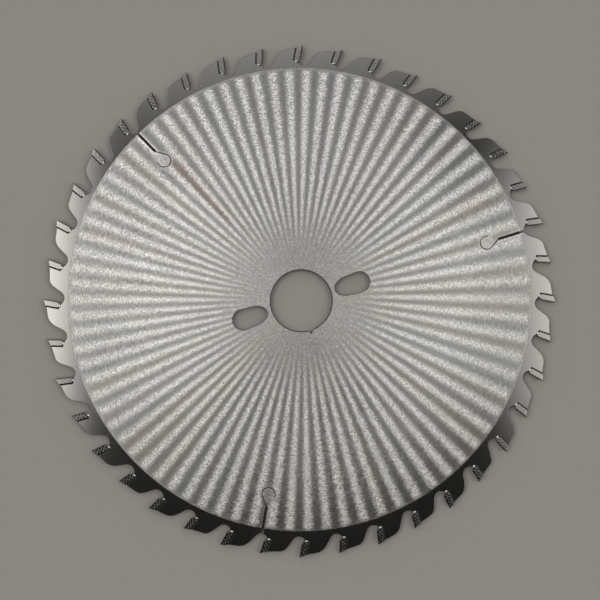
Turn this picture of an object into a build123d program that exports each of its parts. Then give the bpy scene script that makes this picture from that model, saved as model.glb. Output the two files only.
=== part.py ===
from build123d import *

import os
from math import acos, cos, degrees, radians, sin, sqrt, tan

# Circular saw blade for wood: a ground steel plate with carbide tips brazed into its teeth.
# The bore axis is +Z and the middle of the plate is at z = 0. The +X axis runs along the line
# of the two pin slots. Seen from above, the teeth cut clockwise.

# Blade sizes
blade_diameter = 250.0
kerf_width = 3.2
plate_thickness = 2.2
bore_diameter = 30.0
tooth_count = 40
first_gullet_azimuth = -0.6     # degrees from +X to the gullet with the first expansion slot

# Carbide tip, measured down its cutting face and back from that face
tip_length = 8.2
tip_thickness = 3.0
tip_face_length = 6.3           # cutting face above the slanted toe
toe_setback = 1.1               # how far back the toe ends
heel_chamfer = 0.7
hook_angle = 10.0
top_clearance = 15.0
bevel_angle = 15.0
radial_clearance = 1.0
tangential_clearance = 2.5

# Braze between tip and seat, with a sloping bead along the tip on each face of the plate
braze_gap = 0.15
bead_width = 0.35
bead_rise = 0.8                 # share of the tip's step above the plate that the bead covers

# Plate edge between two tips
floor_margin = 1.8              # from a tip's lower end in to the gullet's floor
gullet_radius = 3.45
gullet_lead = 0.19              # degrees from a tip's edge to the gullet in front of it
flank_angle = 36.0              # from the radius through the gullet
shoulder_radius = 7.0
land_angle = 10.0               # fall of the ground land behind a tip
land_drop = 0.1                 # land below the back edge of the tip
land_stock = 0.05               # ground off the land at its high side

# Polished rim outside the ground disc, which was ground a little off centre
rim_margin = 1.85               # mean distance from the gullet floors in to the disc
rim_relief = 0.05
disc_offset = 0.75
disc_offset_azimuth = 70.0

# Expansion slots, each ending in a fine hooked cut
slot_count = 3
slot_width = 1.05
slot_length = 13.2
hook_width = 0.28
hook_radius = 3.2
hook_drop = 6.2                 # from the slot's end in to the middle of its hook
hook_sweep = 236.0

# Bore and pin slots: each slot is the hull of three pin holes, as (diameter, pitch circle)
bore_chamfer = 0.15
pin_holes = [(7.0, 42.0), (9.0, 46.35), (10.0, 60.0)]
nick_azimuth = -90.0
nick_depth = 1.0
nick_before = 1.6               # width of the nick clockwise of its deepest point
nick_after = 2.1

# Worked-out sizes
spare = 1.0                     # how far blanks and cutters run past what they shape
tip_radius = blade_diameter / 2
pitch = 360 / tooth_count
floor_radius = tip_radius - tip_length - floor_margin
disc_radius = floor_radius - rim_margin
half_rim = plate_thickness / 2 - rim_relief
seat_length = tip_length + braze_gap
seat_thickness = tip_thickness + braze_gap
seat_chamfer = heel_chamfer + braze_gap * (2 - sqrt(2))
bevel_slope = tan(radians(bevel_angle))
heel_half_width = (
    kerf_width / 2
    - tip_length * tan(radians(radial_clearance))
    - tip_thickness * tan(radians(tangential_clearance))
)


# Each tooth is drawn at twelve o'clock: +X is the way it cuts, and +Y points away from the bore.

def turned(vector, ahead):
    """The vector turned about the bore by an angle towards the cutting side."""
    return vector.rotate(Axis.Z, -ahead)


def on_tip(down, back):
    """The point this far down the cutting face and this far behind it."""
    return Vector(0, tip_radius) + turned(Vector(-back, -down), hook_angle)


def crossing(point_a, way_a, point_b, way_b):
    """The point where two lines in the plane of the plate cross."""
    reach = (point_b - point_a).cross(way_b).Z / way_a.cross(way_b).Z
    return point_a + way_a * reach


def at_tooth(number):
    """Turn from twelve o'clock to a tooth. Tooth 0 is the one behind the first expansion slot."""
    return Rot(0, 0, first_gullet_azimuth + gullet_lead + number * pitch - 90)


def at_gullet(number):
    """Turn from twelve o'clock to the gullet in front of a tooth."""
    return Rot(0, 0, first_gullet_azimuth + number * pitch - 90)


def high_side(number):
    """Face of the plate with the high corner of a tooth: 1 above, -1 below, in turn."""
    return 1 if number % 2 == 0 else -1


def land_front():
    """Front of the ground land behind a tip, in the middle of the plate."""
    middle_of_edge = Vector(0, tip_radius - kerf_width / 2 * bevel_slope)
    top_way = Vector(1, tan(radians(top_clearance)))
    face_way = on_tip(1, 0) - on_tip(0, 0)
    return crossing(on_tip(0, seat_thickness), face_way, middle_of_edge, top_way) - Vector(0, land_drop)


def seat_lip():
    """Front of the seat's floor, where the gullet cuts it."""
    gullet_middle = turned(Vector(0, floor_radius + gullet_radius), gullet_lead)
    back = on_tip(0, 1) - on_tip(0, 0)
    start = on_tip(seat_length, 0) - gullet_middle
    along = start.dot(back)
    return on_tip(seat_length, sqrt(along**2 - start.dot(start) + gullet_radius**2) - along)


def plate_edge():
    """Edges of the plate along one tooth: seat, land, shoulder and flank, then the next gullet."""
    next_gullet = gullet_lead - pitch
    gullet_middle = Vector(0, floor_radius + gullet_radius)
    flank_way = Vector(sin(radians(flank_angle)), cos(radians(flank_angle)))
    flank_foot = gullet_middle + turned(flank_way, 90) * gullet_radius
    flank_foot = turned(flank_foot, next_gullet)
    flank_way = turned(flank_way, next_gullet)

    land = land_front() + Vector(0, half_rim * bevel_slope + land_stock)
    land_way = Vector(1, tan(radians(land_angle)))
    seat_top = crossing(on_tip(0, seat_thickness), on_tip(1, 0) - on_tip(0, 0), land, land_way)
    shoulder = crossing(land, land_way, flank_foot, flank_way)
    tooth = FilletPolyline(
        seat_lip(), on_tip(seat_length, seat_thickness - seat_chamfer),
        on_tip(seat_length - seat_chamfer, seat_thickness), seat_top, shoulder, flank_foot,
        radius=[0, 0, 0, shoulder_radius],
    )
    floor = turned(Vector(0, floor_radius), next_gullet)
    return tooth.edges() + ThreePointArc(flank_foot, floor, turned(seat_lip(), -pitch)).edges()


def block_above(point, fall, side):
    """Block above a bevelled top face that passes through a point and falls towards its back."""
    back_slope = tan(radians(fall))
    top = Plane(point, x_dir=(1, back_slope, 0), z_dir=(-back_slope, 1, -side * bevel_slope))
    length = radians(pitch / 2) * tip_radius + tip_thickness + spare
    block = Box(length, 2 * kerf_width, tip_length, align=(Align.MAX, Align.CENTER, Align.MIN))
    return top * Pos(tip_thickness, 0, 0) * block


def block_beside(side):
    """Block beside a tip, on the face that narrows towards its back and its lower end."""
    point = on_tip(0, 0) + Vector(0, 0, side * kerf_width / 2)
    down = (on_tip(1, 0) - on_tip(0, 0)) * tan(radians(radial_clearance))
    back = (on_tip(0, 1) - on_tip(0, 0)) * tan(radians(tangential_clearance))
    block = Box(4 * tip_length, 4 * tip_length, kerf_width, align=(Align.CENTER, Align.CENTER, Align.MIN))
    return Plane(point, z_dir=down + back + Vector(0, 0, side)) * block


def carbide_tip(side):
    """One tip, ground on its top and on both sides, with its high corner on the given side."""
    outline = Polyline(
        on_tip(-spare, 0), on_tip(tip_face_length, 0), on_tip(tip_length, toe_setback),
        on_tip(tip_length, tip_thickness - heel_chamfer),
        on_tip(tip_length - heel_chamfer, tip_thickness), on_tip(-spare, tip_thickness), close=True,
    )
    blank = extrude(make_face(outline), kerf_width / 2, both=True)
    edge = on_tip(0, 0) + Vector(0, 0, side * kerf_width / 2)
    return blank - block_beside(1) - block_beside(-1) - block_above(edge, top_clearance, side)


def braze(side):
    """Braze of one tip: a thin layer behind and under it, and a bead on each face of the plate."""
    seat = Polyline(
        on_tip(-spare, tip_thickness), on_tip(tip_length - heel_chamfer, tip_thickness),
        on_tip(tip_length, tip_thickness - heel_chamfer), on_tip(tip_length, toe_setback),
    )
    bead_top = half_rim + bead_rise * (heel_half_width - half_rim)
    reach = braze_gap + bead_width
    section = Polyline(
        (0, bead_top), (reach, half_rim), (braze_gap, half_rim),
        (braze_gap, -half_rim), (reach, -half_rim), (0, -bead_top), close=True,
    )
    start = Plane(seat @ 0, x_dir=on_tip(0, 1) - on_tip(0, 0), z_dir=on_tip(1, 0) - on_tip(0, 0))
    layer = sweep(start * make_face(section), path=seat, transition=Transition.RIGHT)
    return layer - block_above(land_front(), land_angle, side)


def expansion_slot():
    """Cutter for one expansion slot: straight in from the gullet, then a fine hook."""
    slot_end = floor_radius - slot_length
    hook_middle = Vector(0, slot_end - hook_drop)
    touch = degrees(acos(hook_radius / hook_drop))
    bend = [
        hook_middle + turned(Vector(0, hook_radius), touch + hook_sweep * share)
        for share in (0, 0.5, 1)
    ]
    hook = Line((0, slot_end), bend[0]) + ThreePointArc(*bend)
    straight = Pos(0, slot_end) * Rectangle(
        slot_width, slot_length + spare, align=(Align.CENTER, Align.MIN)
    )
    return extrude(straight + trace(hook, hook_width), plate_thickness, both=True)


def pin_slot():
    """Cutter for one pin slot on the +X side of the bore."""
    holes = [Pos(circle / 2, 0) * Circle(hole / 2) for hole, circle in pin_holes]
    hull = make_hull([edge for hole in holes for edge in hole.edges()])
    return extrude(hull, plate_thickness, both=True)


def bore_nick():
    """Cutter for the small nick that damage has left in the edge of the bore."""
    bore_radius = bore_diameter / 2
    corners = Polyline(
        (bore_radius - spare, -nick_before), (bore_radius, -nick_before),
        (bore_radius + nick_depth, 0), (bore_radius, nick_after),
        (bore_radius - spare, nick_after), close=True,
    )
    return Rot(0, 0, nick_azimuth) * extrude(make_face(corners), plate_thickness, both=True)


def disc_middle():
    """Place of the middle of the ground disc, beside the bore's axis."""
    return Rot(0, 0, disc_offset_azimuth) * Pos(disc_offset, 0)


def saw_plate():
    """The steel plate: ground disc, polished rim, teeth, slots and bore."""
    disc = disc_middle() * Cylinder(disc_radius, plate_thickness)
    disc -= Cylinder(bore_diameter / 2, plate_thickness)
    bore_edges = disc.edges().filter_by(GeomType.CIRCLE).sort_by(SortBy.RADIUS)[:2]
    disc = chamfer(bore_edges, bore_chamfer)
    outline = [at_tooth(n) * edge for n in range(tooth_count) for edge in plate_edge()]
    rim = extrude(make_face(outline), half_rim, both=True)
    rim -= disc_middle() * Cylinder(disc_radius - spare, plate_thickness)
    lands = {side: block_above(land_front(), land_angle, side) for side in (1, -1)}
    rim -= [at_tooth(n) * lands[high_side(n)] for n in range(tooth_count)]
    slots = [at_gullet(round(k * tooth_count / slot_count)) * expansion_slot() for k in range(slot_count)]
    pins = [pin_slot(), Rot(0, 0, 180) * pin_slot()]
    return disc + rim - slots - pins - bore_nick()


def write(name, shape):
    """Write one sub-part to its own file."""
    shape.label = name
    export_step(shape, f"parts/{name}.step")


os.makedirs("parts", exist_ok=True)
write("saw_plate", saw_plate())
tips = {side: carbide_tip(side) for side in (1, -1)}
brazes = {side: braze(side) for side in (1, -1)}
for n in range(tooth_count):
    write(f"tip_{n + 1:02d}", at_tooth(n) * tips[high_side(n)])
write("braze_joints", Compound([at_tooth(n) * brazes[high_side(n)] for n in range(tooth_count)]))
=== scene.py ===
"""A used circular saw blade lying on a plain floor, seen from straight above.

The finishes, the drops of braze, the painted shade in the slots and the stage are built round
the frame of solid parts. Finishes, drops and slot fillings are laid out in millimetres unless said
otherwise, the stage in metres.
"""

from __future__ import annotations

import logging
import math
from dataclasses import dataclass
from enum import Enum
from typing import Mapping, Sequence, Union

import bpy
from mathutils import Matrix, Vector


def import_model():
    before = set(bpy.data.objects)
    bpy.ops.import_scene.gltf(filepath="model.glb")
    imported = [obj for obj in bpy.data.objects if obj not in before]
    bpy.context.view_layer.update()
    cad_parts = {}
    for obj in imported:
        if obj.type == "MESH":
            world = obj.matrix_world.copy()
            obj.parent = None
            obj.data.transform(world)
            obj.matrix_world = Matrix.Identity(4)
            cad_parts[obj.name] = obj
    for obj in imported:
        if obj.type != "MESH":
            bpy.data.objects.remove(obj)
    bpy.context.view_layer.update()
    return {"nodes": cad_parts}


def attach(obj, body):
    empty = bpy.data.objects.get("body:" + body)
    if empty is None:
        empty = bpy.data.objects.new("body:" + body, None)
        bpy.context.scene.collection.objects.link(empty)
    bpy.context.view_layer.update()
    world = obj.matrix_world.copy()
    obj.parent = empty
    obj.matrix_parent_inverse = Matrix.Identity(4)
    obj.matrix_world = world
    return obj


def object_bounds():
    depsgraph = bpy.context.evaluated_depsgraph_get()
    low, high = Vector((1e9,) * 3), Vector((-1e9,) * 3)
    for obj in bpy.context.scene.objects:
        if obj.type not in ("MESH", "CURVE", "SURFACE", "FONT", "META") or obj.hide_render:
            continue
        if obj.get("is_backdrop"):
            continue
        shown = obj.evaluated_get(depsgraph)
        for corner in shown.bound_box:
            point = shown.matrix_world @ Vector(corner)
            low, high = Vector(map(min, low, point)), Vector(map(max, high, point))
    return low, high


log = logging.getLogger("saw_blade")

MM = 0.001  # one millimetre, in metres
PHOTO_ROLL = math.radians(18.0)  # turn from the blade's own axes to the photograph's
TEETH = 40
TIP_RADIUS = 125.0  # millimetres from the bore's axis to the edge of a tip
HOOK_ANGLE = math.radians(10.0)
FIRST_TOOTH = 17.59  # azimuth of the first tooth's edge, in degrees from the photograph's right

NOISE_MIDDLE = 0.5  # what the noise node gives on average
NOISE_STRETCH = 4.0  # brings what it gives to about -1 to 1

Number = Union["Signal", float]
Colour = Sequence[float]


class Side(Enum):
    """Face of the plate, as the sign of its height."""

    UPPER = 1
    LOWER = -1


class Signal:
    """One number that varies over a surface. Arithmetic on it adds Math nodes to its sheet."""

    def __init__(self, sheet: Sheet, socket: bpy.types.NodeSocket) -> None:
        """Wrap an output socket.

        Args:
            sheet: The sheet that the socket's node is on.
            socket: The output socket that carries the number.
        """
        self.sheet = sheet
        self.socket = socket

    def __add__(self, other: Number) -> Signal:
        """This number plus another."""
        return self.sheet.math("ADD", self, other)

    def __radd__(self, other: Number) -> Signal:
        """Another number plus this one."""
        return self.sheet.math("ADD", other, self)

    def __sub__(self, other: Number) -> Signal:
        """This number less another."""
        return self.sheet.math("SUBTRACT", self, other)

    def __rsub__(self, other: Number) -> Signal:
        """Another number less this one."""
        return self.sheet.math("SUBTRACT", other, self)

    def __mul__(self, other: Number) -> Signal:
        """This number times another."""
        return self.sheet.math("MULTIPLY", self, other)

    def __rmul__(self, other: Number) -> Signal:
        """Another number times this one."""
        return self.sheet.math("MULTIPLY", other, self)

    def __truediv__(self, other: Number) -> Signal:
        """This number divided by another."""
        return self.sheet.math("DIVIDE", self, other)

    def __rtruediv__(self, other: Number) -> Signal:
        """Another number divided by this one."""
        return self.sheet.math("DIVIDE", other, self)

    def __neg__(self) -> Signal:
        """This number with its sign changed."""
        return self.sheet.math("MULTIPLY", self, -1.0)

    def __abs__(self) -> Signal:
        """This number without its sign."""
        return self.sheet.math("ABSOLUTE", self)


class Sheet:
    """The nodes of one material or world, written as expressions."""

    def __init__(self, tree: bpy.types.NodeTree) -> None:
        """Start from an empty node tree.

        Args:
            tree: The node tree to fill.
        """
        self.tree = tree
        tree.nodes.clear()

    def add(
        self,
        kind: str,
        settings: Mapping[str, object] | None = None,
        inputs: Mapping[str | int, object] | None = None,
    ) -> bpy.types.Node:
        """Add one node.

        Args:
            kind: The node's type.
            settings: Its settings, set before its sockets.
            inputs: Values or links of its sockets, by name or place.

        Returns:
            The new node.
        """
        node = self.tree.nodes.new(kind)
        for name, value in (settings or {}).items():
            setattr(node, name, value)
        for name, value in (inputs or {}).items():
            self.feed(node.inputs[name], value)
        return node

    def feed(self, socket: bpy.types.NodeSocket, value: object) -> None:
        """Give one input socket a link or a value.

        Args:
            socket: The input socket.
            value: A signal, an output socket, a number or a tuple of numbers.
        """
        if isinstance(value, Signal):
            self.tree.links.new(value.socket, socket)
        elif isinstance(value, bpy.types.NodeSocket):
            self.tree.links.new(value, socket)
        else:
            socket.default_value = value

    def math(self, operation: str, *values: Number) -> Signal:
        """The result of one Math node.

        Args:
            operation: The node's operation.
            values: Its numbers, in order.

        Returns:
            The result.
        """
        node = self.add("ShaderNodeMath", {"operation": operation}, dict(enumerate(values)))
        return Signal(self, node.outputs[0])

    def step(self, value: Signal, low: float, high: float, start: float, end: float) -> Signal:
        """A smooth step from one level to another while a number goes from low to high.

        Args:
            value: The number that drives the step.
            low: Where the step starts.
            high: Where it ends.
            start: The level below the step.
            end: The level above it.

        Returns:
            The level.
        """
        node = self.add(
            "ShaderNodeMapRange",
            {"interpolation_type": "SMOOTHSTEP"},
            {"Value": value, "From Min": low, "From Max": high, "To Min": start, "To Max": end},
        )
        return Signal(self, node.outputs[0])

    def spot(self, distance: Signal, radius: float, blur: float) -> Signal:
        """1 within a radius, falling smoothly to 0 over a blur outside it."""
        return self.step(distance, radius, radius + blur, 1.0, 0.0)

    def length(self, x: Signal, y: Signal) -> Signal:
        """Distance of a point from the origin."""
        return self.math("SQRT", x * x + y * y)

    def highest(self, first: Signal, *others: Signal) -> Signal:
        """The highest of some numbers.

        Args:
            first: One number.
            others: The rest of them.

        Returns:
            The highest.
        """
        for other in others:
            first = self.math("MAXIMUM", first, other)
        return first

    def vector(self, x: Number, y: Number, z: Number) -> bpy.types.NodeSocket:
        """A vector made of three numbers."""
        return self.add("ShaderNodeCombineXYZ", inputs={0: x, 1: y, 2: z}).outputs[0]

    def parts(self, vector: bpy.types.NodeSocket) -> tuple[Signal, Signal, Signal]:
        """The three numbers of a vector."""
        node = self.add("ShaderNodeSeparateXYZ", inputs={0: vector})
        return tuple(Signal(self, out) for out in node.outputs)

    def noise(
        self, vector: bpy.types.NodeSocket, scale: float, detail: float, roughness: float = 0.5
    ) -> Signal:
        """Smooth noise about 0, mostly between -1 and 1.

        Args:
            vector: Where it is read.
            scale: Features per unit.
            detail: Octaves added to it.
            roughness: Weight of each octave after the first.

        Returns:
            The noise.
        """
        node = self.add(
            "ShaderNodeTexNoise",
            inputs={"Vector": vector, "Scale": scale, "Detail": detail, "Roughness": roughness},
        )
        return (Signal(self, node.outputs[0]) - NOISE_MIDDLE) * NOISE_STRETCH

    def blend(self, share: Number, first: object, second: object) -> bpy.types.NodeSocket:
        """A colour between two, by a share from 0 to 1."""
        node = self.add(
            "ShaderNodeMix", {"data_type": "RGBA"}, {0: share, 6: opaque(first), 7: opaque(second)}
        )
        return node.outputs[2]

    def scaled(self, colour: object, factor: Signal) -> bpy.types.NodeSocket:
        """A colour or vector times a factor."""
        inputs = {0: colour, "Scale": factor}
        return self.add("ShaderNodeVectorMath", {"operation": "SCALE"}, inputs).outputs[0]

    def arrow(self, operation: str, *values: object) -> bpy.types.NodeSocket:
        """The result of one Vector Math node."""
        inputs = dict(enumerate(values))
        return self.add("ShaderNodeVectorMath", {"operation": operation}, inputs).outputs[0]

    def bevel(self, radius: Number, samples: int) -> bpy.types.NodeSocket:
        """A normal with the edges rounded by a radius in metres."""
        return self.add("ShaderNodeBevel", {"samples": samples}, {"Radius": radius}).outputs[0]

    def bump(self, height: Signal, strength: float, depth: float) -> bpy.types.NodeSocket:
        """A normal that follows a height, by a strength and a depth in metres."""
        inputs = {"Strength": strength, "Distance": depth, "Height": height}
        return self.add("ShaderNodeBump", inputs=inputs).outputs[0]


def opaque(colour: object) -> object:
    """Give a plain colour the fourth number that a socket wants.

    Args:
        colour: Three numbers, or a link.

    Returns:
        Four numbers, or the link as it is.
    """
    if isinstance(colour, (tuple, list)) and len(colour) == 3:
        return (*colour, 1.0)
    return colour


@dataclass(frozen=True)
class Fade:
    """A smooth change of level while a number goes from one value to another.

    Attributes:
        low: Where the change starts.
        high: Where it ends.
        start: The level below it.
        end: The level above it.
    """

    low: float
    high: float
    start: float = 0.0
    end: float = 1.0

    def of(self, value: Signal) -> Signal:
        """The level at a number."""
        return value.sheet.step(value, self.low, self.high, self.start, self.end)


@dataclass(frozen=True)
class Weight:
    """A weight that changes evenly with a number.

    Attributes:
        base: The weight at 0.
        gain: What it gains from 0 to 1.
    """

    base: float
    gain: float

    def of(self, value: Signal) -> Signal:
        """The weight at a number."""
        return self.base + value * self.gain


@dataclass(frozen=True)
class BladePoint:
    """A point of the surface, in millimetres from the bore, with X to the photograph's right.

    Attributes:
        place: The point as one vector.
        x: Its distance to the right.
        y: Its distance up.
        radius: Its distance from the bore's axis.
        across: Cosine of its azimuth.
        along: Sine of its azimuth.
    """

    place: bpy.types.NodeSocket
    x: Signal
    y: Signal
    radius: Signal
    across: Signal
    along: Signal

    def toward(self, degrees: float) -> tuple[Signal, Signal]:
        """Distance out along an azimuth, and distance to the left of it."""
        cosine, sine = math.cos(math.radians(degrees)), math.sin(math.radians(degrees))
        return self.x * cosine + self.y * sine, self.y * cosine - self.x * sine


@dataclass(frozen=True)
class PolarNoise:
    """Noise laid out round the bore, so that it is drawn out along a radius or round a circle.

    Attributes:
        around: Features for each radian round the bore.
        outward: Features for each millimetre outwards.
        detail: Octaves added to it.
        roughness: Weight of each octave after the first.
        start: Where it starts outwards, which sets one noise apart from the next.
    """

    around: float
    outward: float = 0.0
    detail: float = 1.0
    roughness: float = 0.5
    start: float = 0.0

    def draw(self, point: BladePoint) -> Signal:
        """Draw the noise.

        Args:
            point: The point of the surface.

        Returns:
            The noise.
        """
        sheet = point.radius.sheet
        place = sheet.vector(
            point.across * self.around,
            point.along * self.around,
            point.radius * self.outward + self.start,
        )
        return sheet.noise(place, 1.0, self.detail, self.roughness)


@dataclass(frozen=True)
class Finish:
    """What every finish shares.

    Attributes:
        name: Name of its material.
    """

    name: str

    def material(self) -> tuple[bpy.types.Material, Sheet]:
        """A new material of this name.

        Returns:
            The material and its empty sheet.
        """
        material = bpy.data.materials.new(self.name)
        material.use_nodes = True
        return material, Sheet(material.node_tree)

    @staticmethod
    def point(sheet: Sheet) -> BladePoint:
        """The point of the blade's surface that is shaded.

        Args:
            sheet: The sheet to work it out on.

        Returns:
            The point.
        """
        coordinates = sheet.add("ShaderNodeTexCoord").outputs["Object"]
        turned = sheet.add(
            "ShaderNodeMapping",
            {"vector_type": "POINT"},
            {"Vector": coordinates, "Rotation": (0, 0, PHOTO_ROLL), "Scale": (1 / MM,) * 3},
        )
        x, y, _ = sheet.parts(turned.outputs[0])
        radius = sheet.length(x, y)
        return BladePoint(turned.outputs[0], x, y, radius, x / radius, y / radius)

    @staticmethod
    def tooth(point: BladePoint) -> tuple[Signal, Signal]:
        """Place on the nearest tooth.

        Args:
            point: The point of the surface.

        Returns:
            Distance down the cutting face from its edge, and distance behind that face.
        """
        sheet = point.radius.sheet
        pitch, half = 2 * math.pi / TEETH, 0.5
        teeth = sheet.math("ARCTAN2", point.y, point.x) / pitch - FIRST_TOOTH / math.degrees(pitch)
        turn = (sheet.math("FRACT", teeth + half + TEETH) - half) * pitch
        off_x = -(point.radius * sheet.math("SINE", turn))
        off_y = point.radius * sheet.math("COSINE", turn) - TIP_RADIUS
        cosine, sine = math.cos(HOOK_ANGLE), math.sin(HOOK_ANGLE)
        return -(off_x * sine) - off_y * cosine, off_y * sine - off_x * cosine

    @staticmethod
    def surface(sheet: Sheet, inputs: Mapping[str | int, object]) -> None:
        """Put a shader with these sockets on the sheet's output."""
        shader = sheet.add("ShaderNodeBsdfPrincipled", inputs=inputs)
        sheet.add("ShaderNodeOutputMaterial", inputs={"Surface": shader.outputs[0]})


@dataclass(frozen=True)
class GrindingRays:
    """Rays and gaps left on the disc by the grinding wheel; their light and dark is painted sheen.

    Attributes:
        count: Rays round the disc.
        middle: Point that they turn about, to the photograph's right and up from the bore.
        miss: How far each ray passes beside that point.
        bunching: How much they bunch up, to the right and up, in radians of their phase.
        start: Phase of the first ray, in radians.
        ragged: Noise along their edges.
        wander: How far that noise moves an edge, in radians of the phase.
    """

    count: int = 80
    middle: tuple[float, float] = (-0.07, 1.39)
    miss: float = 1.05
    bunching: tuple[float, float] = (2.7, 7.26)
    start: float = 3.68
    ragged: PolarNoise = PolarNoise(34.0, 2.0, detail=2.0, roughness=0.6)
    wander: float = 0.7

    def draw(self, point: BladePoint) -> Signal:
        """Draw the rays.

        Args:
            point: The point of the surface.

        Returns:
            1 in the middle of a light ray, falling to -1 in the middle of a gap.
        """
        sheet = point.radius.sheet
        off_x, off_y = point.x - self.middle[0], point.y - self.middle[1]
        radius = sheet.length(off_x, off_y)
        phase = (sheet.math("ARCTAN2", off_y, off_x) - self.miss / radius) * self.count
        bunched = (off_x * self.bunching[0] + off_y * self.bunching[1]) / radius
        wander = self.ragged.draw(point) * self.wander
        return sheet.math("COSINE", phase - bunched + self.start + wander)


@dataclass(frozen=True)
class SlotMarks:
    """The surface beside the three expansion slots and their hooks, with painted highlights along
    them.

    Attributes:
        azimuths: Azimuths of the slots, in degrees from the photograph's right.
        straight: Distances out over which the painted highlight along a slot's straight part sets
            in.
        burr_side: Distance from a slot's middle to that painted highlight.
        burr_half: Half its width.
        blur: How far a painted highlight fades out on each side.
        hook_middle: Distance from the bore's middle to the middle of a hook.
        hook_radius: Radius of a hook.
        hook_inset: Distance from a hook's cut in to the painted highlight inside it.
        hook_half: Half the width of the painted highlight inside a hook.
        hook_highlight: Its lightness beside that of the painted highlight along the slot.
        calm_blur: How far the calm patch round a hook fades out.
    """

    azimuths: tuple[float, float, float] = (17.4, -99.6, 134.4)
    straight: tuple[float, float] = (100.3, 101.8)
    burr_side: float = 1.2
    burr_half: float = 0.2
    blur: float = 0.25
    hook_middle: float = 95.6
    hook_radius: float = 3.2
    hook_inset: float = 0.55
    hook_half: float = 0.1
    hook_highlight: float = 0.3
    calm_blur: float = 2.2

    def draw(self, point: BladePoint) -> tuple[Signal, Signal]:
        """Draw the marks of all slots.

        Args:
            point: The point of the surface.

        Returns:
            The painted highlights along each slot and in each hook, and the calm patch round a hook.
        """
        sheet = point.radius.sheet
        burr_highlights, patches = [], []
        for azimuth in self.azimuths:
            out, side = point.toward(azimuth)
            # Painted highlight of the burred edge on each side of the slot.
            burr_highlight = sheet.spot(abs(abs(side) - self.burr_side), self.burr_half, self.blur)
            burr_highlight = burr_highlight * Fade(*self.straight).of(out)
            to_hook = sheet.length(out - self.hook_middle, side)
            from_burr = abs(to_hook - (self.hook_radius - self.hook_inset))
            inside = sheet.spot(from_burr, self.hook_half, self.blur)
            burr_highlights.append(burr_highlight + inside * self.hook_highlight)
            patches.append(sheet.spot(to_hook, self.hook_radius, self.calm_blur))
        return sum(burr_highlights), sum(patches)


@dataclass(frozen=True)
class WearMarksAndNickShade:
    """A stain and a small pit that use has left, and painted shade round the nick by the bore.

    Attributes:
        azimuth: Azimuth of the stain, in degrees from the photograph's right.
        reach: Distances from the bore's middle to the stain's two ends.
        half_angle: Half the stain's width, in radians about the bore.
        side_blur: Angle over which it fades out on each side.
        end_inset: How far in from an end it starts to fade out.
        end_blur: Length over which it fades out there.
        wander: How far the grain moves its sides.
        pits_and_nick_shade: Place and darkness of each dark spot: a small pit, then painted shade
            round the nick.
        dark_spot_radius: Radius of a dark spot, and of the blur round it.
    """

    azimuth: float = 132.4
    reach: tuple[float, float] = (50.0, 94.0)
    half_angle: float = 0.015
    side_blur: float = 0.016
    end_inset: float = 5.0
    end_blur: float = 6.0
    wander: float = 0.35
    pits_and_nick_shade: tuple[tuple[float, float, float], ...] = ((-64.2, 35.1, 0.6), (4.95, -15.35, 1.0))
    dark_spot_radius: float = 0.4

    def draw(self, point: BladePoint, grain: Signal) -> tuple[Signal, Signal]:
        """Draw the stain, the pit and the painted shade round the nick.

        Args:
            point: The point of the surface.
            grain: Noise that breaks the stain up.

        Returns:
            The stain, and the pit with the painted shade round the nick, each from 0 to 1.
        """
        sheet = point.radius.sheet
        out, side = point.toward(self.azimuth)
        start, end = self.reach
        off_end = abs(out - (start + end) / 2)
        stain = sheet.spot(abs(side + grain * self.wander) / out, self.half_angle, self.side_blur)
        stain = stain * sheet.spot(off_end, (end - start) / 2 - self.end_inset, self.end_blur)
        pits_and_nick_shade = []
        # The first spot is a pit; the second is painted shade round the nick by the bore.
        for right, up, darkness in self.pits_and_nick_shade:
            distance = sheet.length(point.x - right, point.y - up)
            pits_and_nick_shade.append(sheet.spot(distance, self.dark_spot_radius, self.dark_spot_radius) * darkness)
        return stain, sum(pits_and_nick_shade)


@dataclass(frozen=True)
class SteelTint:
    """Colour of the ground steel: clean in the rays, with faint casts in the gaps between them.

    Attributes:
        clean: Colour of the clean steel.
        green: Colour of the gaps that have a green cast.
        warm: Colour of the gaps that have a warm cast.
        violet: Colour of the gaps that have a violet cast.
        first: Noise that parts the green cast from the warm one.
        first_fade: Share of the warm cast by that noise.
        second: Noise that brings in the violet cast.
        second_fade: Share of the violet cast by that noise.
        share: Share of the casts, from a ray to a gap.
    """

    clean: Colour = (0.602, 0.576, 0.551)
    green: Colour = (0.575, 0.584, 0.564)
    warm: Colour = (0.622, 0.572, 0.533)
    violet: Colour = (0.588, 0.562, 0.584)
    first: PolarNoise = PolarNoise(11.0)
    first_fade: Fade = Fade(-0.5, 0.5)
    second: PolarNoise = PolarNoise(9.0, start=7.0)
    second_fade: Fade = Fade(-0.1, 0.9, 0.0, 0.9)
    share: Weight = Weight(0.45, 0.45)

    def draw(self, point: BladePoint, gaps: Signal) -> bpy.types.NodeSocket:
        """Draw the colour.

        Args:
            point: The point of the surface.
            gaps: 1 in a gap and 0 in a ray.

        Returns:
            The colour.
        """
        sheet = gaps.sheet
        cast = sheet.blend(self.first_fade.of(self.first.draw(point)), self.green, self.warm)
        cast = sheet.blend(self.second_fade.of(self.second.draw(point)), cast, self.violet)
        return sheet.blend(self.share.of(gaps), self.clean, cast)


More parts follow.
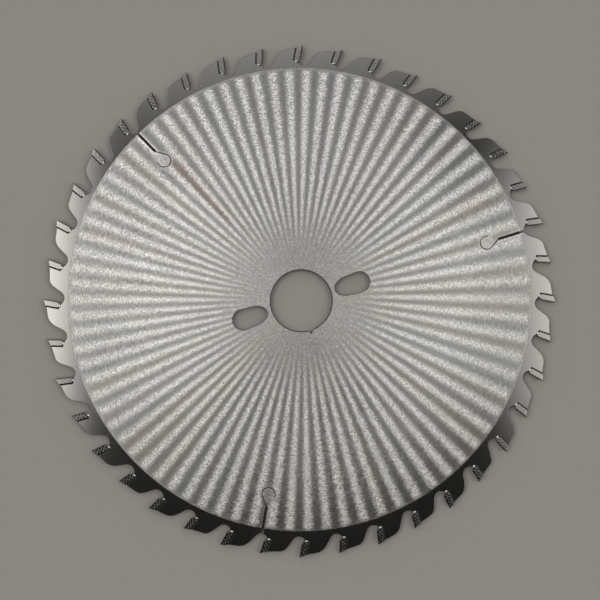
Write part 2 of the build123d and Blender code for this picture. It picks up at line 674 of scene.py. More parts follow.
@dataclass(frozen=True)
class DiscGrain:
    """Fine marks of the grinding wheel on the disc.

    Attributes:
        comb: Noise in short lines that point outwards.
        comb_weight: Its weight, from a gap to a ray.
        speck_rate: Specks a millimetre.
        speck_weight: Their weight, from a gap to a ray.
        speck_aside: Painted light: their weight, from the photograph's top and bottom to its sides.
        cloud_rate: Clouds a millimetre where there are no rays.
        cloud_weight: Weight of the clouds.
        plain_speck: Weight of the specks where there are no rays.
        plain_calm: The same, from the open disc to the calm patch round a hook.
        tone: Noise that makes whole rays lighter or darker.
        tone_weight: Its weight.
    """

    comb: PolarNoise = PolarNoise(85.0, 2.2)
    comb_weight: Weight = Weight(0.16, 1.25)
    speck_rate: float = 2.3
    speck_weight: Weight = Weight(0.35, 1.5)
    speck_aside: Weight = Weight(1.0, -0.35)
    cloud_rate: float = 0.35
    cloud_weight: float = 0.15
    plain_speck: float = 1.1
    plain_calm: Weight = Weight(1.0, -0.6)
    tone: PolarNoise = PolarNoise(26.0, 0.02)
    tone_weight: float = 0.16

    def specks(self, point: BladePoint) -> Signal:
        """The specks, as noise."""
        return point.radius.sheet.noise(point.place, self.speck_rate, detail=1.0)

    def in_rays(self, comb: Signal, specks: Signal, lit: Signal, aside: Signal) -> Signal:
        """The grain where the rays are.

        Args:
            comb: The comb of short lines.
            specks: The specks.
            lit: 0 in a gap and 1 in a ray.
            aside: 0 at the photograph's top and bottom and 1 at its sides.

        Returns:
            The grain.
        """
        specks = specks * self.speck_weight.of(lit) * self.speck_aside.of(aside)
        return comb * self.comb_weight.of(lit) + specks

    def plain(self, point: BladePoint, specks: Signal, calm: Signal) -> Signal:
        """The grain where there are no rays.

        Args:
            point: The point of the surface.
            specks: The specks.
            calm: The calm patch round a hook.

        Returns:
            The grain.
        """
        clouds = specks.sheet.noise(point.place, self.cloud_rate, detail=2.0) * self.cloud_weight
        return clouds + specks * self.plain_speck * self.plain_calm.of(calm)


@dataclass(frozen=True)
class DarkLines:
    """Painted shade in dark lines: along edges, round the bore, behind the tips, round the disc.

    Attributes:
        rounding: How far the plate's edges are rounded, in metres.
        reach: Width of the painted shade along an edge in metres, by distance from the bore's axis.
        wear_and_edge_shade: Darkness of the painted shade along an edge, by how level the widely
            rounded edge is.
        bore: Radius of the line of painted shade round the bore.
        bore_blur: How far it fades out.
        bore_share: Its darkness.
        seam_shadow: From a tip's cutting face back to the middle of the painted shadow behind the
            tip.
        seam_half: Half the width of that line.
        seam_blur: How far it fades out.
        seam_end: Its darkness by distance down the cutting face.
        border_half: Half the width of the line of painted shade round the disc.
        border_blur: How far it fades out.
        border_out: How far outside the disc's edge its middle lies.
        border_share: Its darkness at the photograph's left and right.
    """

    rounding: float = 0.18 * MM
    reach: Fade = Fade(38.0, 42.0, 1.3 * MM, 0.45 * MM)
    wear_and_edge_shade: Fade = Fade(0.84, 0.97, 1.0, 0.0)
    bore: float = 15.3
    bore_blur: float = 0.3
    bore_share: float = 0.9
    seam_shadow: float = 3.5
    seam_half: float = 0.1
    seam_blur: float = 0.25
    seam_end: Fade = Fade(7.9, 8.4, 1.0, 0.0)
    border_half: float = 0.1
    border_blur: float = 0.2
    border_out: float = 0.15
    border_share: float = 0.3

    def rounded(self, sheet: Sheet) -> bpy.types.NodeSocket:
        """The normal with the plate's edges slightly rounded."""
        return sheet.bevel(self.rounding, 4)

    def draw(self, point: BladePoint, beyond: Signal, on_rim: Signal) -> Signal:
        """Draw all the dark lines.

        Args:
            point: The point of the surface.
            beyond: Distance outside the disc's edge.
            on_rim: 1 on a face of the rim.

        Returns:
            Their darkness, from 0 to 1.
        """
        sheet = point.radius.sheet
        # Painted shade in dark lines: along the edges, round the bore, behind each tip, round the
        # disc.
        wide = sheet.bevel(self.reach.of(point.radius), 8)
        dark_walls_and_edge_shade = self.wear_and_edge_shade.of(abs(sheet.parts(wide)[2]))
        down, behind = Finish.tooth(point)
        seam_shadow = sheet.spot(abs(behind - self.seam_shadow), self.seam_half, self.seam_blur)
        seam_shadow = seam_shadow * self.seam_end.of(down) * on_rim
        bore = sheet.spot(point.radius, self.bore, self.bore_blur) * self.bore_share
        border = sheet.spot(abs(beyond - self.border_out), self.border_half, self.border_blur)
        border = border * point.across * point.across * self.border_share
        return sheet.highest(dark_walls_and_edge_shade, seam_shadow, bore, border)


@dataclass(frozen=True)
class GroundPlate(Finish):
    """Ground steel: a disc with rays left by the grinding wheel, inside a polished rim.

    Attributes:
        polished: Colour of the rim.
        dark: Colour of the painted shade in the dark lines and round the nick, and of the pit.
        wall: Colour of the plate's narrow walls.
        stain: Colour of the stain.
        stain_share: How much of the steel the stain hides.
        facing: How much of a face a surface is, by how level it lies.
        disc_radius: Radius of the ground disc.
        disc_middle: Middle of the ground disc, to the photograph's right and up from the bore.
        disc_border: The rim, by distance outside the disc's edge.
        rays: The rays on the disc.
        slots: The marks beside the expansion slots.
        wear_and_edge_shade: The stain, the pit and the painted shade round the nick.
        tint: Colour of the ground steel.
        grain: Fine marks on the disc.
        lines: The dark lines of painted shade.
        ray_swing: Painted sheen: factor by which a ray is lighter, and a gap darker, than the steel.
        ray_reach: Strength of the rays by distance from the bore's axis.
        ray_edge: Strength of the rays by distance outside the disc's edge.
        ray_calm: Strength of the rays, from the open disc to the calm patch round a hook.
        ray_light: 0 in a gap and 1 in a ray, by the height of the rays' wave.
        spread_reach: How much the spread counts, by distance from the bore's axis.
        spread: Gain of the rays' painted sheen from the photograph's sides to its top and bottom.
        edge_dark: How much darker the disc is along its edge, where the rays end.
        calm_light: How much lighter the calm patch round a hook is.
        gap_tint: Share of the casts in a gap, by the strength of the rays.
        middle_light: Light of the steel by distance from the bore's axis, near the bore.
        outer_light: The same, further out.
        tarnish_rate: Spots of tarnish a millimetre on the rim.
        tarnish: How much of the steel they hide, by their noise.
        gloss_reach: How mirror-like the gaps are, by distance from the bore's axis.
        gloss_up: The same, by distance from the photograph's level axis.
        gloss_right: The same, from the photograph's left to its right.
        gloss_lean: How much that last change leans over.
        ground_rough: Roughness of the disc in a gap.
        ray_rough: What it gains in a ray.
        gloss_rough: What it loses where the gaps are mirror-like.
        rim_rough: Roughness of the rim.
        wall_rough: Roughness of the walls.
        line_rough: What the roughness gains in a dark line.
        grooves: Noise of the grinding grooves.
        slope: Their slope by distance from the bore's axis, near the bore.
        outer_slope: The same, further out.
        gloss_slope: Their slope, from a dull gap to a mirror-like one.
        aside_slope: Their slope, from the photograph's top and bottom to its sides.
    """

    polished: Colour = (0.74, 0.72, 0.695)
    dark: Colour = (0.045, 0.044, 0.042)
    wall: Colour = (0.17, 0.165, 0.158)
    stain: Colour = (0.50, 0.405, 0.35)
    stain_share: float = 0.8
    facing: Fade = Fade(0.6, 0.95)
    disc_radius: float = 113.15
    disc_middle: tuple[float, float] = (0.026, 0.75)
    disc_border: Fade = Fade(-0.08, 0.08)
    rays: GrindingRays = GrindingRays()
    slots: SlotMarks = SlotMarks()
    wear_and_edge_shade: WearMarksAndNickShade = WearMarksAndNickShade()
    tint: SteelTint = SteelTint()
    grain: DiscGrain = DiscGrain()
    lines: DarkLines = DarkLines()
    ray_swing: float = 1.44
    ray_reach: Fade = Fade(22.0, 54.0, 0.1, 1.0)
    ray_edge: Fade = Fade(-2.0, -0.4, 1.0, 0.1)
    ray_calm: Weight = Weight(1.0, -0.85)
    ray_light: Fade = Fade(-0.8, 0.9)
    spread_reach: Fade = Fade(60.0, 105.0)
    spread: Weight = Weight(-0.22, 0.37)
    edge_dark: float = 0.3
    calm_light: float = 0.4
    gap_tint: Weight = Weight(0.2, 0.8)
    middle_light: Fade = Fade(26.0, 46.0, 1.0, 1.04)
    outer_light: Fade = Fade(66.0, 108.0, 1.0, 0.83)
    tarnish_rate: float = 0.8
    tarnish: Fade = Fade(1.0, 1.25, 0.0, 0.35)
    gloss_reach: Fade = Fade(78.0, 110.0)
    gloss_up: Fade = Fade(0.25, 0.7)
    gloss_right: Fade = Fade(-0.2, 0.4)
    gloss_lean: float = 0.5
    ground_rough: float = 0.28
    ray_rough: float = 0.12
    gloss_rough: float = 0.07
    rim_rough: float = 0.08
    wall_rough: float = 0.3
    line_rough: float = 0.2
    grooves: PolarNoise = PolarNoise(50.0, 9.0)
    slope: Fade = Fade(20.0, 60.0, 0.17, 0.26)
    outer_slope: Fade = Fade(75.0, 110.0, 1.0, 0.65)
    gloss_slope: Weight = Weight(1.0, -0.75)
    aside_slope: Weight = Weight(1.0, -0.4)

    @staticmethod
    def grooved(
        sheet: Sheet, normal: bpy.types.NodeSocket, slope: Signal
    ) -> bpy.types.NodeSocket:
        """A normal tilted away from the bore by the slope of the grinding grooves.

        Args:
            sheet: The sheet to draw on.
            normal: The normal without grooves.
            slope: Slope of the grooves.

        Returns:
            The tilted normal.
        """
        coordinates = sheet.add("ShaderNodeTexCoord").outputs["Object"]
        outward = sheet.arrow("NORMALIZE", sheet.arrow("MULTIPLY", coordinates, (1.0, 1.0, 0.0)))
        return sheet.arrow("NORMALIZE", sheet.arrow("ADD", normal, sheet.scaled(outward, slope)))

    def build(self) -> bpy.types.Material:
        """The material of the plate.

        Returns:
            The material.
        """
        material, sheet = self.material()
        point = self.point(sheet)
        normal = sheet.add("ShaderNodeNewGeometry").outputs["True Normal"]
        face = self.facing.of(abs(sheet.parts(normal)[2]))
        off_x, off_y = point.x - self.disc_middle[0], point.y - self.disc_middle[1]
        beyond = sheet.length(off_x, off_y) - self.disc_radius
        rim = self.disc_border.of(beyond)
        disc = 1.0 - rim
        aside = point.across * point.across

        comb, specks = self.grain.comb.draw(point), self.grain.specks(point)
        burr_highlight, calm = self.slots.draw(point)
        stain, pits_and_nick_shade = self.wear_and_edge_shade.draw(point, comb)
        wave = self.rays.draw(point)
        lit = self.ray_light.of(wave)
        inner, edge = self.ray_reach.of(point.radius), self.ray_edge.of(beyond)
        strength = inner * edge * disc * self.ray_calm.of(calm)
        # Painted sheen: the real grinding rays lighten and darken the colour, more at top and
        # bottom.
        spread = 1.0 + self.spread.of(point.along * point.along) * self.spread_reach.of(point.radius)
        swing = (wave + self.grain.in_rays(comb, specks, lit, aside)) * strength * spread
        swing = swing + (1.0 - strength) * disc * self.grain.plain(point, specks, calm)
        swing = swing - (1.0 - edge) * disc * self.edge_dark
        swing = swing + self.grain.tone.draw(point) * inner * disc * self.grain.tone_weight
        # Painted highlight beside the slots, and the lighter calm patch round the hooks.
        swing = swing + burr_highlight * disc + calm * disc * self.calm_light

        light = sheet.math("POWER", self.ray_swing, swing)
        light = light * self.middle_light.of(point.radius) * self.outer_light.of(point.radius)
        tarnish = self.tarnish.of(sheet.noise(point.place, self.tarnish_rate, detail=1.0)) * rim
        lines = self.lines.draw(point, beyond, rim * face)
        colour = self.tint.draw(point, (1.0 - lit) * self.gap_tint.of(strength))
        colour = sheet.blend(stain * self.stain_share, colour, self.stain)
        colour = sheet.scaled(sheet.blend(rim, colour, self.polished), light)
        colour = sheet.blend(tarnish, colour, self.stain)
        # Painted shade in the dark lines and round the nick, and the pit, take the dark colour.
        colour = sheet.blend(sheet.highest(lines, pits_and_nick_shade), colour, self.dark)
        colour = sheet.blend(face, self.wall, colour)

        gloss = (1.0 - lit) * self.gloss_reach.of(point.radius) * self.gloss_up.of(abs(point.along))
        gloss = gloss * self.gloss_right.of(point.across - point.along * self.gloss_lean)
        ground = self.ground_rough + lit * strength * self.ray_rough - gloss * self.gloss_rough
        roughness = ground * disc + rim * self.rim_rough
        roughness = roughness + (1.0 - face) * self.wall_rough + lines * self.line_rough
        slope = self.grooves.draw(point) * disc * face * self.slope.of(point.radius)
        slope = slope * self.outer_slope.of(point.radius) * self.gloss_slope.of(gloss)
        slope = slope * self.aside_slope.of(aside)
        inputs = {
            "Base Color": colour,
            "Metallic": 1.0,
            "Roughness": roughness,
            "Normal": self.grooved(sheet, self.lines.rounded(sheet), slope),
        }
        self.surface(sheet, inputs)
        return material


@dataclass(frozen=True)
class GroundCarbide(Finish):
    """Tungsten carbide, ground nearly bright with crossing lines.

    Attributes:
        carbide: Its colour.
        edge: Colour of the unground walls and of the painted shade along edges, cutting face and
            back.
        line_spacing: Distance between two grinding lines.
        cross_rate: Rate of the crossing lines beside that of the others.
        cross_share: Their height beside that of the others.
        wander_rate: Bends of the lines a millimetre.
        wander: How far the lines bend, in radians of their wave.
        grain_rate: Grains a millimetre.
        ragged: How much the grain frays a line.
        scratch: Depth of a line by the height of its wave.
        scratch_dark: How much darker a line is.
        grain_light: How much lighter a grain is.
        smooth: Roughness between the lines.
        scratch_rough: What it gains in a line.
        rounding: How far the edges are rounded, in metres.
        flatness: How strongly the rounded normal is turned back towards the face.
        wear_and_edge_shade: Dark unground walls and painted shade along edges, by how level the
            rounded edge is.
        front: Painted shade along the cutting face, by distance behind it.
        rear: Painted shade along the tip's back, by distance behind the cutting face.
        rear_share: How dark that painted shade at the back gets.
    """

    carbide: Colour = (0.57, 0.555, 0.52)
    edge: Colour = (0.035, 0.034, 0.032)
    line_spacing: float = 1.25
    cross_rate: float = 0.9
    cross_share: float = 0.95
    wander_rate: float = 0.8
    wander: float = 0.7
    grain_rate: float = 2.5
    ragged: float = 0.06
    scratch: Fade = Fade(0.8, 1.0)
    scratch_dark: float = 0.15
    grain_light: float = 0.04
    smooth: float = 0.06
    scratch_rough: float = 0.23
    rounding: float = 0.36 * MM
    flatness: float = 6.0
    wear_and_edge_shade: Fade = Fade(0.75, 0.97, 0.85, 0.0)
    front: Fade = Fade(0.45, 0.75, 0.85, 0.0)
    rear: Fade = Fade(2.8, 2.95)
    rear_share: float = 0.8

    def build(self) -> bpy.types.Material:
        """The material of the tips.

        Returns:
            The material.
        """
        material, sheet = self.material()
        point = self.point(sheet)
        down, behind = self.tooth(point)
        wander = sheet.noise(point.place, self.wander_rate, detail=1.0) * self.wander
        rate = 2 * math.pi / self.line_spacing * math.sqrt(0.5)
        lines = sheet.math("SINE", (down + behind) * rate + wander)
        crossing = sheet.math("SINE", (down - behind) * (rate * self.cross_rate) - wander)
        grain = sheet.noise(point.place, self.grain_rate, detail=2.0)
        hatch = sheet.highest(lines, crossing * self.cross_share) + grain * self.ragged
        scratch = self.scratch.of(hatch)

        # Dark unground walls, and painted shade along the edges, the cutting face and the back.
        rounded = sheet.bevel(self.rounding, 8)
        dark_walls_and_edge_shade = self.wear_and_edge_shade.of(abs(sheet.parts(rounded)[2]))
        rear = self.rear.of(behind) * self.rear_share
        border = sheet.highest(dark_walls_and_edge_shade, self.front.of(behind), rear)
        light = 1.0 - scratch * self.scratch_dark + grain * self.grain_light
        level = sheet.arrow("MULTIPLY", rounded, (1.0, 1.0, self.flatness))
        inputs = {
            "Base Color": sheet.blend(border, sheet.scaled(self.carbide, light), self.edge),
            "Metallic": 1.0,
            "Roughness": self.smooth + scratch * self.scratch_rough,
            "Normal": sheet.arrow("NORMALIZE", level),
        }
        self.surface(sheet, inputs)
        return material


@dataclass(frozen=True)
class SilverBraze(Finish):
    """Silver braze: bright where it has run together under a tip; behind it dull, with painted
    shade.

    Attributes:
        silver: Colour of the bright braze.
        braze_shade: Colour of the painted shade on the braze behind the tips.
        unshaded_radius: Distance from the bore's middle out to the end of the bright braze.
        braze_shade_blur: Length over which the painted shade sets in.
        wander: How far the lumps move its start.
        lump_rate: Lumps a millimetre.
        lump_light: How much lighter a lump is.
        lump_strength: Strength of the lumps as bumps.
        lump_depth: Their depth, in metres.
        smooth: Roughness of the clean braze.
        braze_shade_rough: What the roughness gains where the braze is dull.
    """

    silver: Colour = (0.86, 0.84, 0.80)
    braze_shade: Colour = (0.03, 0.029, 0.027)
    unshaded_radius: float = 116.0
    braze_shade_blur: float = 0.5
    wander: float = 0.2
    lump_rate: float = 1.6
    lump_light: float = 0.06
    lump_strength: float = 0.4
    lump_depth: float = 0.1 * MM
    smooth: float = 0.28
    braze_shade_rough: float = 0.3

    def build(self) -> bpy.types.Material:
        """The material of the braze.

        Returns:
            The material.
        """
        material, sheet = self.material()
        point = self.point(sheet)
        lumps = sheet.noise(point.place, self.lump_rate, detail=2.0)
        # Behind the tips the braze is dull and darkened with painted shade.
        start = Fade(self.unshaded_radius, self.unshaded_radius + self.braze_shade_blur)
        braze_shaded = start.of(point.radius + lumps * self.wander)
        colour = sheet.blend(braze_shaded, self.silver, self.braze_shade)
        inputs = {
            "Base Color": sheet.scaled(colour, 1.0 + lumps * self.lump_light),
            "Metallic": 1.0,
            "Roughness": self.smooth + braze_shaded * self.braze_shade_rough,
            "Normal": sheet.bump(lumps, self.lump_strength, self.lump_depth),
        }
        self.surface(sheet, inputs)
        return material


@dataclass(frozen=True)
class SlotShadeFinish(Finish):
    """Black finish of painted shade, for the fillings of the expansion slots.

    Attributes:
        black: Its colour.
        lump_rate: Lumps a millimetre.
        lump_light: How much lighter a lump is.
        lump_strength: Strength of the lumps as bumps.
        lump_depth: Their depth, in metres.
        roughness: Its roughness.
        gloss: How strongly it reflects.
    """

    black: Colour = (0.020, 0.0195, 0.019)
    lump_rate: float = 2.2
    lump_light: float = 0.8
    lump_strength: float = 0.6
    lump_depth: float = 0.2 * MM
    roughness: float = 0.75
    gloss: float = 0.2

    def build(self) -> bpy.types.Material:
        """The material of the painted shade in the slots.

        Returns:
            The material.
        """
        material, sheet = self.material()
        lumps = sheet.noise(self.point(sheet).place, self.lump_rate, detail=2.0)
        inputs = {
            "Base Color": sheet.scaled(self.black, 1.0 + lumps * self.lump_light),
            "Roughness": self.roughness,
            "Specular IOR Level": self.gloss,
            "Normal": sheet.bump(lumps, self.lump_strength, self.lump_depth),
        }
        self.surface(sheet, inputs)
        return material


@dataclass(frozen=True)
class PaleFloor(Finish):
    """A plain pale floor with a faint grain.

    Attributes:
        colour: Its colour.
        grain_rate: Grains a metre.
        grain_light: How much lighter a grain is.
        roughness: Its roughness.
        gloss: How strongly it reflects.
    """

    colour: Colour = (0.334, 0.314, 0.290)
    grain_rate: float = 900.0
    grain_light: float = 0.02
    roughness: float = 0.9
    gloss: float = 0.1

    def build(self) -> bpy.types.Material:
        """The material of the floor.

        Returns:
            The material.
        """
        material, sheet = self.material()
        place = sheet.add("ShaderNodeTexCoord").outputs["Object"]
        grain = sheet.noise(place, self.grain_rate, detail=2.0)
        inputs = {
            "Base Color": sheet.scaled(self.colour, 1.0 + grain * self.grain_light),
            "Roughness": self.roughness,
            "Specular IOR Level": self.gloss,
        }
        self.surface(sheet, inputs)
        return material


@dataclass(frozen=True)
class SkyBand:
    """A smooth change of light across the sky, along a slanted line.

    Attributes:
        right: How fast the line rises to the photograph's right.
        up: How fast it rises towards the photograph's top.
        fade: Light by the height of the line.
    """

    right: float
    up: float
    fade: Fade

    def of(self, over_right: Signal, over_up: Signal) -> Signal:
        """The light in one direction, given by its slopes to the right and up."""
        return self.fade.of(over_right * self.right + over_up * self.up)


@dataclass(frozen=True)
class Softbox:
    """A wide soft lamp in the sky.

    Attributes:
        glow: Bands of light that are added up.
        masks: Bands that their sum is multiplied by.
    """

    glow: tuple[SkyBand, ...]
    masks: tuple[SkyBand, ...]

    def of(self, over_right: Signal, over_up: Signal) -> Signal:
        """The light in one direction.

        Args:
            over_right: The direction's slope to the photograph's right.
            over_up: Its slope towards the photograph's top.

        Returns:
            The light.
        """
        light = sum(band.of(over_right, over_up) for band in self.glow)
        for mask in self.masks:
            light = light * mask.of(over_right, over_up)
        return light


@dataclass
class Studio:
    """Floor, soft light and camera.

    Attributes:
        floor_half: Half the floor's side.
        camera_height: From the plate up to the lens.
        lean_right: How far the camera stands to the photograph's right of the bore, in degrees.
        lean_up: How far it stands towards the photograph's top, in degrees.
        scale: Pixels a millimetre at the plate.
        picture: Width of the picture in pixels.
        bore_pixel: Where the middle of the bore lies in the picture.
        sensor: Width of the camera's sensor, in millimetres.
        clip: Nearest and furthest distance that the camera sees.
        lowest: Height below which a direction counts as level.
        right_box: Lamp to the photograph's right.
        left_box: Lamp to its left.
        wall: Pale wall beyond the photograph's top.
        lens_spot: Middle of the soft light near the lens, as slopes to the right and up.
        lens_light: That light by how far a direction leans from its middle.
        low_share: Share of the low sky by how far a direction leans from straight up.
        low_light: Light of the low sky, from the photograph's bottom to its top.
        warm: Colour of the light at the photograph's bottom.
        cool: Colour of the light at its top.
        cool_share: Share of the cool colour between the two.
        backdrop: Colour of the sky that the camera sees.
    """

    floor_half: float = 3.0
    camera_height: float = 0.6
    lean_right: float = -2.07
    lean_up: float = -0.58
    scale: float = 2.043
    picture: int = 600
    bore_pixel: tuple[float, float] = (301.2, 300.8)
    sensor: float = 36.0
    clip: tuple[float, float] = (0.01, 20.0)
    lowest: float = 0.02
    right_box: Softbox = Softbox(
        glow=(
            SkyBand(1.0, 0.07, Fade(0.17, 0.30, 0.0, 1.45)),
            SkyBand(1.0, 0.0, Fade(0.34, 0.5)),
        ),
        masks=(
            SkyBand(0.35, 1.0, Fade(-0.075, 0.03)),
            SkyBand(-0.4, 1.0, Fade(-0.02, 0.11, 1.0, 0.0)),
        ),
    )
    left_box: Softbox = Softbox(
        glow=(
            SkyBand(1.0, -0.05, Fade(-0.195, -0.120, 1.75, 0.0)),
            SkyBand(1.0, 0.0, Fade(-0.48, -0.3, 0.9, 0.0)),
        ),
        masks=(
            SkyBand(-0.5, 1.0, Fade(-0.1, 0.0)),
            SkyBand(0.8, 1.0, Fade(0.0, 0.15, 1.0, 0.0)),
        ),
    )
    wall: SkyBand = SkyBand(-0.1, 1.0, Fade(0.1, 0.32, 0.012, 0.6))
    lens_spot: tuple[float, float] = (0.036, -0.015)
    lens_light: Fade = Fade(0.05, 0.15, 0.75, 0.0)
    low_share: Fade = Fade(0.7, 1.4)
    low_light: Fade = Fade(-1.5, 0.0, 0.25, 0.8)
    warm: Colour = (1.0, 0.985, 0.955)
    cool: Colour = (0.98, 0.99, 1.0)
    cool_share: Fade = Fade(0.0, 0.3)
    backdrop: Colour = (0.62, 0.6, 0.57)

    def floor(self) -> bpy.types.Object:
        """The floor that the tips' lowest corners rest on.

        Returns:
            The floor.
        """
        bpy.ops.object.select_all(action="DESELECT")
        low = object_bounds()[0].z
        bpy.ops.mesh.primitive_plane_add(size=2 * self.floor_half, location=(0, 0, low))
        floor = bpy.context.object
        bpy.ops.object.transform_apply(location=True)
        floor.name = "floor"
        floor.data.materials.append(PaleFloor("pale_floor").build())
        floor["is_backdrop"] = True
        return floor

    def camera(self) -> bpy.types.Object:
        """The camera at the photograph's viewing angle.

        Returns:
            The camera.
        """
        roll = Matrix.Rotation(-PHOTO_ROLL, 3, "Z")
        right, up = math.tan(math.radians(self.lean_right)), math.tan(math.radians(self.lean_up))
        back = (roll @ Vector((right, up, 1.0))).normalized()
        data = bpy.data.cameras.new("camera")
        data.sensor_width = self.sensor
        data.lens = self.scale / MM * self.camera_height / self.picture * self.sensor
        data.shift_x = (self.picture / 2 - self.bore_pixel[0]) / self.picture
        data.shift_y = (self.bore_pixel[1] - self.picture / 2) / self.picture
        data.clip_start, data.clip_end = self.clip
        camera = bpy.data.objects.new("camera", data)
        bpy.context.collection.objects.link(camera)
        across = (roll @ Vector((0.0, 1.0, 0.0))).cross(back).normalized()
        turned = Matrix((across, back.cross(across), back)).transposed()
        camera.matrix_world = Matrix.Translation(back * self.camera_height) @ turned.to_4x4()
        bpy.context.scene.camera = camera
        return camera

    def sky(self, sheet: Sheet) -> tuple[bpy.types.NodeSocket, Signal]:
        """The sky of the studio: two wide lamps, a soft light near the lens and a pale wall.

        Args:
            sheet: The world's sheet.

        Returns:
            The colour and the strength of the light.
        """
        direction = sheet.add("ShaderNodeTexCoord").outputs["Generated"]
        turned = sheet.add(
            "ShaderNodeMapping",
            {"vector_type": "POINT"},
            {"Vector": direction, "Rotation": (0, 0, PHOTO_ROLL)},
        )
        right, up, high = sheet.parts(turned.outputs[0])
        height = sheet.math("MAXIMUM", high, self.lowest)
        over_right, over_up = right / height, up / height
        from_lens = sheet.length(over_right - self.lens_spot[0], over_up - self.lens_spot[1])
        boxes = self.right_box.of(over_right, over_up) + self.left_box.of(over_right, over_up)
        boxes = boxes + self.lens_light.of(from_lens)
        near = sheet.highest(boxes, self.wall.of(over_right, over_up))
        low = self.low_share.of(sheet.length(over_right, over_up))
        strength = near * (1.0 - low) + low * self.low_light.of(over_up)
        return sheet.blend(self.cool_share.of(over_up), self.warm, self.cool), strength

    def light(self) -> bpy.types.World:
        """The dome of soft light, with a plain pale sky for the camera.

        Returns:
            The world.
        """
        world = bpy.data.worlds.new("studio")
        world.use_nodes = True
        bpy.context.scene.world = world
        sheet = Sheet(world.node_tree)
        colour, strength = self.sky(sheet)
        light = sheet.add("ShaderNodeBackground", inputs={"Color": colour, "Strength": strength})
        plain = {"Color": opaque(self.backdrop), "Strength": 1.0}
        seen = sheet.add("ShaderNodeLightPath").outputs["Is Camera Ray"]
        backdrop = sheet.add("ShaderNodeBackground", inputs=plain)
        mixed = sheet.add(
            "ShaderNodeMixShader", inputs={0: seen, 1: light.outputs[0], 2: backdrop.outputs[0]}
        )
        sheet.add("ShaderNodeOutputWorld", inputs={"Surface": mixed.outputs[0]})
        return world


class Piece:
    """Steps in edit mode that every modelled piece shares."""

    @staticmethod
    def begin() -> None:
        """Leave edit mode and deselect everything, so that an operator acts on the new piece."""
        if bpy.context.object is not None and bpy.context.object.mode != "OBJECT":
            bpy.ops.object.mode_set(mode="OBJECT")
        bpy.ops.object.select_all(action="DESELECT")

    @staticmethod
    def settle(piece: bpy.types.Object, finish: bpy.types.Material, slot: str) -> None:
        """Put a finished piece's place into its mesh, dress it and let it ride on the blade.

        Args:
            piece: The finished piece.
            finish: Its material.
            slot: Not used.
        """
        piece.data.transform(piece.matrix_world)
        piece.matrix_world = Matrix.Identity(4)
        piece.data.materials.clear()
        piece.data.materials.append(finish)
        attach(piece, "root")
        log.info("%s wears %s", piece.name, finish.name)

    @staticmethod
    def copies(
        model: bpy.types.Object, names: Sequence[str], turns: Sequence[float]
    ) -> list[bpy.types.Object]:
        """Copies of a model, each with its own mesh, turned about the bore's axis.

        Args:
            model: The model, which is removed.
            names: Name of each copy.
            turns: Turn of each copy, in degrees.

        Returns:
            The copies.
        """
        made = []
        for name, degrees in zip(names, turns):
            copy = model.copy()
            copy.data = model.data.copy()
            copy.name = copy.data.name = name
            bpy.context.collection.objects.link(copy)
            copy.matrix_world = Matrix.Rotation(math.radians(degrees), 4, "Z") @ model.matrix_world
            made.append(copy)
        bpy.data.objects.remove(model)
        return made


@dataclass
class BrazeDrops:
    """Drops of braze that have run together at the heel of each tip, on both faces.

    Attributes:
        first_azimuth: Azimuth of the first tooth's drop, in degrees.
        distance: From the bore's middle to the middle of a drop.
        half_length: Half a drop's length along the heel.
        half_width: Half its width.
        half_height: Half its height before its hidden part is cut away.
        level: Height of its middle above the middle of the plate.
        hidden: How far from its middle, on the plate's side, the hidden part is cut away.
        unevenness: How far its surface is moved at random.
        segments: Faces round a drop.
        rings: Rings of faces from end to end.
        seed: Seed of the random moves, to which the side's sign is added.
    """

    first_azimuth: float = 1.24
    distance: float = 117.3
    half_length: float = 0.75
    half_width: float = 0.42
    half_height: float = 0.42
    level: float = 1.08
    hidden: float = 0.2
    unevenness: float = 0.05
    segments: int = 14
    rings: int = 9
    seed: int = 4

    def drop(self, side: Side) -> bpy.types.Object:
        """Model the drop of one face at azimuth 0.

        Args:
            side: The face.

        Returns:
            The drop.
        """
        Piece.begin()
        place = (self.distance * MM, 0.0, side.value * self.level * MM)
        bpy.ops.mesh.primitive_uv_sphere_add(
            segments=self.segments, ring_count=self.rings, radius=MM, location=place
        )
        drop = bpy.context.object
        bpy.ops.object.mode_set(mode="EDIT")
        bpy.ops.mesh.select_all(action="SELECT")
        bpy.ops.transform.resize(value=(self.half_width, self.half_length, self.half_height))
        bpy.ops.mesh.bisect(
            plane_co=(place[0], 0.0, place[2] - side.value * self.hidden * MM),
            plane_no=(0.0, 0.0, float(side.value)),
            clear_inner=True,
            use_fill=True,
        )
        bpy.ops.mesh.select_all(action="SELECT")
        bpy.ops.transform.vertex_random(offset=self.unevenness * MM, seed=self.seed + side.value)
        bpy.ops.mesh.normals_make_consistent(inside=False)
        bpy.ops.object.mode_set(mode="OBJECT")
        bpy.ops.object.shade_smooth()
        return drop

    def build(self, finish: bpy.types.Material) -> None:
        """Model the drops of one tooth, copy them to all teeth and dress them.

        Args:
            finish: Their material.
        """
        upper, lower = self.drop(Side.UPPER), self.drop(Side.LOWER)
        Piece.begin()
        upper.select_set(True)
        lower.select_set(True)
        bpy.context.view_layer.objects.active = upper
        bpy.ops.object.join()
        names = [f"braze_drop_{n + 1:02d}" for n in range(TEETH)]
        turns = [self.first_azimuth + 360 / TEETH * n for n in range(TEETH)]
        for piece in Piece.copies(upper, names, turns):
            Piece.settle(piece, finish, "braze")


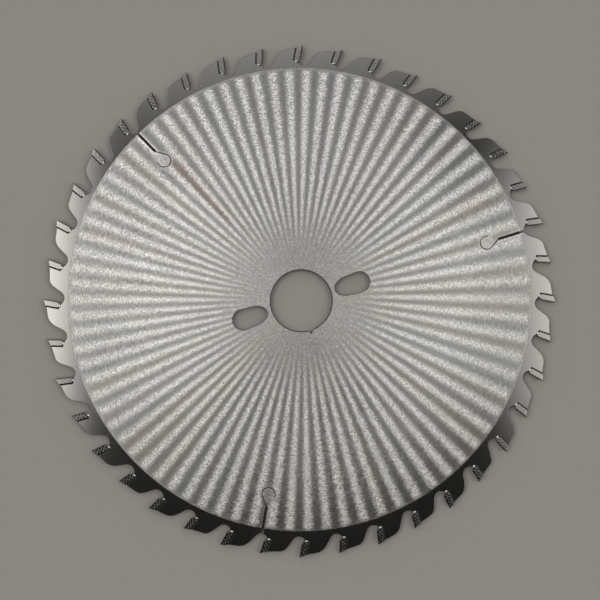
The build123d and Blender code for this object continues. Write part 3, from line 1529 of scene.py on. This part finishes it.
@dataclass
class SlotFillings:
    """Black fillings of painted shade in the expansion slots, a little below the face.

    Attributes:
        azimuths: Azimuths of the slots, in degrees.
        inner_end: From the bore's middle to the filling's inner end.
        outer_end: From the bore's middle to its outer end.
        width: Its width.
        top: Height of its upper face above the middle of the plate.
        bottom: Height of its lower face.
        rounding: How far its edges are rounded.
        rounding_steps: Faces across a rounded edge.
        cuts: Cuts across each of its faces, which make room for the unevenness.
        unevenness: How far its surface is moved at random.
        seed: Seed of the random moves.
    """

    azimuths: tuple[float, float, float] = (-0.6, -117.6, 116.4)
    inner_end: float = 101.9
    outer_end: float = 112.6
    width: float = 1.0
    top: float = 0.7
    bottom: float = -0.9
    rounding: float = 0.12
    rounding_steps: int = 2
    cuts: int = 3
    unevenness: float = 0.02
    seed: int = 3

    def build(self, finish: bpy.types.Material) -> None:
        """Model the filling of one slot, copy it to all slots and dress it.

        Args:
            finish: Its material.
        """
        Piece.begin()
        out, height = (self.inner_end + self.outer_end) / 2, (self.top + self.bottom) / 2
        bpy.ops.mesh.primitive_cube_add(size=MM, location=(out * MM, 0.0, height * MM))
        filling = bpy.context.object
        bpy.ops.object.mode_set(mode="EDIT")
        bpy.ops.mesh.select_all(action="SELECT")
        length = self.outer_end - self.inner_end
        bpy.ops.transform.resize(value=(length, self.width, self.top - self.bottom))
        bpy.ops.mesh.bevel(
            offset=self.rounding * MM, segments=self.rounding_steps, affect="EDGES"
        )
        bpy.ops.mesh.select_all(action="SELECT")
        bpy.ops.mesh.subdivide(number_cuts=self.cuts)
        bpy.ops.transform.vertex_random(offset=self.unevenness * MM, seed=self.seed)
        bpy.ops.object.mode_set(mode="OBJECT")
        bpy.ops.object.shade_smooth()
        names = [f"slot_dirt_{n + 1}" for n in range(len(self.azimuths))]
        for piece in Piece.copies(filling, names, self.azimuths):
            Piece.settle(piece, finish, "plate_steel")


@dataclass
class Blade:
    """The blade's own parts, which keep their solid shapes and get their finishes.

    Attributes:
        braze_node: Node of the braze.
        tip_prefix: How the name of each tip's node starts.
        bare_radius: A radius beyond the tips, so that the drops bear no painted shade.
    """

    braze_node: str = "braze_joints"
    tip_prefix: str = "tip_"
    bare_radius: float = 130.0

    def dress(self, nodes: Mapping[str, bpy.types.Object]) -> None:
        """Give every node its finish, add the braze's drops and the painted shade in the slots.

        Args:
            nodes: The frame's nodes by name.
        """
        plate = GroundPlate("ground_plate").build()
        carbide = GroundCarbide("ground_carbide").build()
        braze = SilverBraze("silver_braze").build()
        for name, node in nodes.items():
            finish = carbide if name.startswith(self.tip_prefix) else plate
            if name == self.braze_node:
                finish = braze
            for slot in node.material_slots:
                slot.material = finish
            log.info("%s wears %s", name, finish.name)
        BrazeDrops().build(SilverBraze("bright_braze", unshaded_radius=self.bare_radius).build())
        # Black fillings of painted shade in the slots.
        SlotFillings().build(SlotShadeFinish("slot_shade_finish").build())


def main() -> None:
    """Build the blade and its stage in order."""
    logging.basicConfig(level=logging.INFO, format="%(message)s")
    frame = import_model()
    bpy.context.scene.view_settings.view_transform = "Standard"
    studio = Studio()
    studio.camera()
    studio.light()
    studio.floor()
    Blade().dress(frame["nodes"])


if __name__ == "__main__":
    main()
